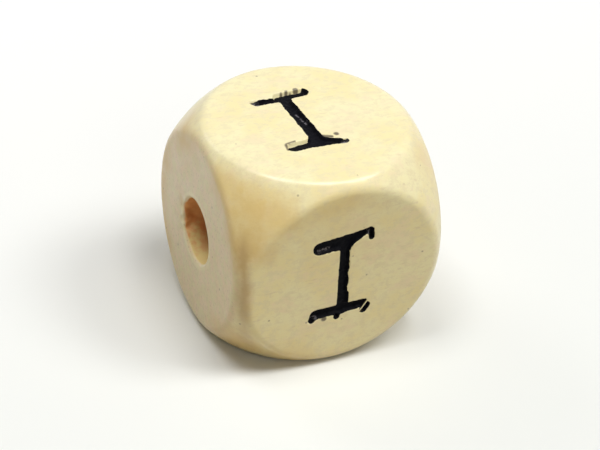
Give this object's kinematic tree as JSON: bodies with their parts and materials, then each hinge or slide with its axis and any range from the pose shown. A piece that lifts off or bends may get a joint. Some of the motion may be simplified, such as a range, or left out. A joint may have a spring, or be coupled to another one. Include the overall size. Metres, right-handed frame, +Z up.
{
  "type": "wooden cube bead",
  "caption": "Small pale wooden cube bead with ball-rounded edges, a bore from side to side and an inked stamped mark on the faces around it.",
  "frame": {"origin": "middle of the flat face that the bead stands on", "axes": "+X along the bore, -Y out of the front mark, +Z up"},
  "size_m": [0.01, 0.01, 0.01],
  "materials": {
    "wood": "sanded, with a thin clear varnish",
    "ink": "black stamping ink, dull with a faint sheen"
  },
  "bodies": {
    "root": {"bead": "wood", "front_ink": "ink", "top_ink": "ink", "back_ink": "ink", "bottom_ink": "ink"}
  },
  "joints": []
}
